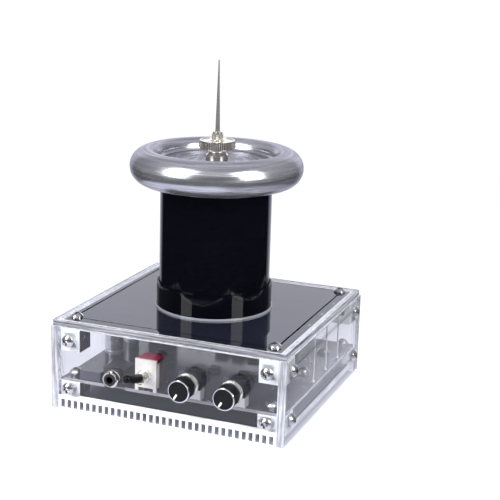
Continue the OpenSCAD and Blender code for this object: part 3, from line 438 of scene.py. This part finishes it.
def board_materials(steel, copper, moulded):
    return {
        "main_board": circuit_board("board_black", 1.0, (0.30, 0.30, 0.33)),
        # The lid board's pale cut edge is painted light, brighter than its laminate, lifting the shade
        # along its edge.
        "lid_board": circuit_board("lid_board_black", 0.0, (0.62, 0.62, 0.66)),
        "board_screws": steel,
        "transistor_screws": steel,
        "riser_wires": metal("tinned_wire", (0.80, 0.80, 0.82), 0.3, body=0.6),
        "power_transistors": moulded,
        "logic_chips": moulded,
        "film_capacitor": gloss("capacitor_grey", (0.045, 0.045, 0.065), 0.2),
        "bulk_capacitor": gloss("can_sleeve", (0.03, 0.035, 0.06), 0.25),
        "small_capacitors": metal("can_aluminium", (0.50, 0.51, 0.57), 0.25, body=0.7),
        "resonant_capacitors": gloss("capacitor_brown", (0.30, 0.06, 0.03), 0.3),
        "transformer_core": gloss("ferrite", (0.05, 0.09, 0.06), 0.4),
        "transformer_winding": copper,
    }


def control_materials(steel, nickel, moulded):
    worn = {
        "switch_body": red_case(),
        "switch_frame": metal("switch_steel", (0.86, 0.83, 0.78), 0.3, body=0.6),
        "switch_bushing": metal("threaded_nickel", (0.95, 0.92, 0.85), 0.2, body=0.85, recess=0.9),
        "toggle_lever": nickel,
        "lever_cap": gloss("cap_rubber", (0.002, 0.002, 0.003), 0.12, level=0.14),
        "pot_bodies": moulded,
        "pot_frames": pot_steel(),
        "pot_bushings": nickel,
        "pot_nuts": metal("pot_nickel", (0.84, 0.83, 0.81), 0.22, body=0.85),
    }
    knob = gloss("knob_black", (0.005, 0.005, 0.006), 0.45, level=0.18)
    ring = metal("ring_silver", (0.86, 0.86, 0.87), 0.14)
    white = gloss("pointer_white", (0.90, 0.90, 0.88), 0.4)
    for side in ("left", "right"):
        worn[f"{side}_shaft"] = steel
        worn[f"{side}_knob"] = knob
        worn[f"{side}_knob_ring"] = ring
        worn[f"{side}_pointer"] = white
    return worn


def coil_materials(steel, nickel, copper, moulded):
    spun = spun_aluminium()
    needle_tone = (0.46, 0.45, 0.455)
    return {
        "base_hoop": gloss("hoop_clear", (0.24, 0.25, 0.28), 0.08),
        "base_plug": moulded,
        "base_screw": steel,
        "primary_band": copper,
        "coil_former": gloss("former_plastic", (0.75, 0.75, 0.72), 0.5),
        "secondary_winding": black_lacquer("lacquered_winding", 0.8),
        "coil_sleeve": black_lacquer("sleeve_black", 0.15),
        "top_cap": moulded,
        "toroid_upper": spun,
        "toroid_lower": spun,
        "centre_stud": nickel,
        "boss": nickel,
        "thumb_nut": knurled_nickel(),
        "needle_collet": metal("collet_nickel", (0.84, 0.80, 0.72), 0.22, body=0.8, recess=0.6),
        "discharge_needle": metal(
            "needle_steel", needle_tone, 0.2, grain=(0.2, 0.2, 0.02), depth=0.0, body=0.75
        ),
    }


def dress_nodes():
    steel = metal("screw_steel", (0.72, 0.71, 0.72), 0.2, grain_scale=6.0, body=0.96, recess=0.9)
    nickel = metal("nickel", (0.80, 0.76, 0.69), 0.17, grain_scale=5.0, recess=0.8)
    moulded = gloss("moulded_black", (0.018, 0.018, 0.024), 0.42)
    copper = metal("copper_wire", (0.80, 0.36, 0.18), 0.22)
    worn = {
        **case_materials(steel, nickel),
        **board_materials(steel, copper, moulded),
        **control_materials(steel, nickel, moulded),
        **coil_materials(steel, nickel, copper, moulded),
    }
    for name, mat in worn.items():
        data = nodes[name].data
        data.materials.clear()
        data.materials.append(mat)
    missing = set(nodes) - set(worn)
    if missing:
        raise ValueError(f"no material for {sorted(missing)}")


def soften_edges():
    """Narrow polished chamfers on the sheets and blocks, which catch the light."""
    widths = {
        "lid_plate": 0.35,
        "left_panel": 0.2,
        "right_panel": 0.2,
        "upper_blocks": 0.25,
        "lower_blocks": 0.25,
    }
    for name, width in widths.items():
        weld = nodes[name].modifiers.new("weld", "WELD")
        weld.merge_threshold = 0.001 * MM
        bevel = nodes[name].modifiers.new("bevel", "BEVEL")
        bevel.width = width * MM
        bevel.segments = 2
        bevel.limit_method = "ANGLE"
        bevel.angle_limit = math.radians(50)


# ---------- studio ----------


def area_light(name, azimuth, elevation, distance, width, height, power, mirrored=True):
    a, e = math.radians(azimuth), math.radians(elevation)
    target = Vector((0, MID_Y, 0.07))
    out = Vector((math.sin(a) * math.cos(e), -math.cos(a) * math.cos(e), math.sin(e)))
    data = bpy.data.lights.new(name, "AREA")
    data.shape = "RECTANGLE"
    data.size, data.size_y = width, height
    data.energy = power
    lamp = bpy.data.objects.new(name, data)
    lamp.location = target + out * distance
    lamp.rotation_mode = "QUATERNION"
    lamp.rotation_quaternion = out.to_track_quat("Z", "Y")
    lamp.visible_glossy = mirrored
    bpy.context.scene.collection.objects.link(lamp)


def view_direction():
    """Level direction in which the camera looks."""
    view = math.radians(CAMERA_AZIMUTH)
    return -math.sin(view), math.cos(view)


def outside_case(t, x, y):
    """0 under the case and 1 beside it."""
    across = t.math("SUBTRACT", t.math("ABSOLUTE", x), LID_HI.x / MM)
    along = t.math("ABSOLUTE", t.math("SUBTRACT", y, MID_Y / MM))
    along = t.math("SUBTRACT", along, (LID_HI.y - LID_LO.y) / 2 / MM)
    return t.between(t.math("MAXIMUM", across, along), -5.0, 0.5, 0.0, 1.0)


def floor_paper(t, place, x, outside):
    """White paper, with a painted shadow under the case that is darkest at the right."""
    white = t.tint(t.noise(place, 0.05, 2.0), (0.80, 0.80, 0.82), (0.84, 0.84, 0.86))
    # Painted shadow under the case.
    shade = t.tint(t.between(x, -60.0, 10.0, 0.0, 1.0), (0.46, 0.48, 0.53), (0.20, 0.21, 0.25))
    return t.node("BsdfDiffuse", {"Color": t.tint(outside, shade, white)}).outputs[0]


def floor_in_mirrors(t, x, y, r):
    """Bright close to the object and behind it, dimmer at its right, and dark elsewhere."""
    bright = t.node("Emission", {"Color": (0.93, 0.95, 1.12, 1), "Strength": 1.0}).outputs[0]
    dark = t.node("Emission", {"Color": (0.010, 0.010, 0.014, 1), "Strength": 1.0}).outputs[0]
    close = t.between(r, MIRRORED_FLOOR + MIRRORED_FLOOR_BLEND, MIRRORED_FLOOR, 0.0, 1.0)
    close = t.math("MULTIPLY", close, t.between(x, DIM_SIDE_START, DIM_SIDE_END, 1.0, 0.4))
    view_x, view_y = view_direction()
    away = t.math("ADD", t.math("MULTIPLY", y, view_y), t.math("MULTIPLY", x, view_x))
    away = t.math("DIVIDE", away, t.math("ADD", r, 1.0))
    behind = t.between(away, 0.70, 0.88, 0.0, 1.0)
    return t.mixed(t.math("MAXIMUM", close, behind), dark, bright)


def make_floor():
    """White table for the camera, with a painted shadow under the case, and its own look in mirrors.
    """
    reach = 6.0
    corners = [(-reach, -reach, 0), (reach, -reach, 0), (reach, reach, 0), (-reach, reach, 0)]
    mesh = bpy.data.meshes.new("floor")
    mesh.from_pydata(corners, [], [(0, 1, 2, 3)])
    floor = bpy.data.objects.new("floor", mesh)
    bpy.context.scene.collection.objects.link(floor)
    t = Tree("floor_white")
    path = t.node("LightPath").outputs
    place = t.place()
    x, y, _ = t.parts(place)
    r, _, _ = radius_and_turn(t, place)
    outside = outside_case(t, x, y)
    paper = floor_paper(t, place, x, outside)
    lit = t.node("Emission", {"Color": (1, 1, 1, 1), "Strength": 1.02}).outputs[0]
    mirror = t.mixed(outside, paper, floor_in_mirrors(t, x, y, r))
    seen = t.math("MAXIMUM", path["Is Camera Ray"], path["Is Transmission Ray"])
    share = t.math("MULTIPLY", t.between(r, LIT_FLOOR_START, LIT_FLOOR_END, 0.82, 1.0), outside)
    first = t.mixed(t.math("MULTIPLY", seen, share), paper, lit)
    mesh.materials.append(t.finish(t.mixed(path["Is Glossy Ray"], first, mirror)))


def make_world():
    """White for the camera, even light for matt faces; in mirrors bright behind and grey above."""
    world = bpy.data.worlds.new("studio")
    bpy.context.scene.world = world
    t = Tree(world, "OutputWorld")
    path = t.node("LightPath").outputs
    direction = t.node("TexCoord").outputs["Generated"]
    view = {0: direction, 1: (*view_direction(), 0)}
    along = t.node("VectorMath", view, operation="DOT_PRODUCT").outputs["Value"]
    sides = t.between(along, -0.35, 0.25, 0.015, 0.20)
    behind = t.between(along, 0.72, 0.88, 0.0, 1.15)
    ceiling = t.between(t.parts(direction)[2], 0.35, 0.75, 0.0, 1.0)
    glow = {"Factor": ceiling, "A": t.math("ADD", sides, behind), "B": 0.36}
    strength = t.node("Mix", glow).outputs["Result"]
    backdrop = t.node("Background", {"Color": (1, 1, 1, 1), "Strength": 1.0}).outputs[0]
    ambient = t.node("Background", {"Color": (0.94, 0.96, 1.0, 1), "Strength": 0.6}).outputs[0]
    mirror = {"Color": (0.93, 0.94, 1.06, 1), "Strength": strength}
    mirrored = t.node("Background", mirror).outputs[0]
    seen = t.math("MAXIMUM", path["Is Camera Ray"], path["Is Transmission Ray"])
    first = t.mixed(seen, ambient, backdrop)
    t.finish(t.mixed(path["Is Glossy Ray"], first, mirrored))


def make_studio():
    area_light("left_softbox", -33, 34, 0.9, 0.38, 0.75, 8.0)
    area_light("right_softbox", 70, 32, 0.9, 0.38, 0.70, 8.0)
    area_light("top_softbox", 10, 80, 1.0, 0.7, 0.7, 8.0, mirrored=False)
    make_floor()
    make_world()
    bpy.context.scene.view_settings.view_transform = "Standard"


make_camera()
make_studio()
dress_nodes()
soften_edges()
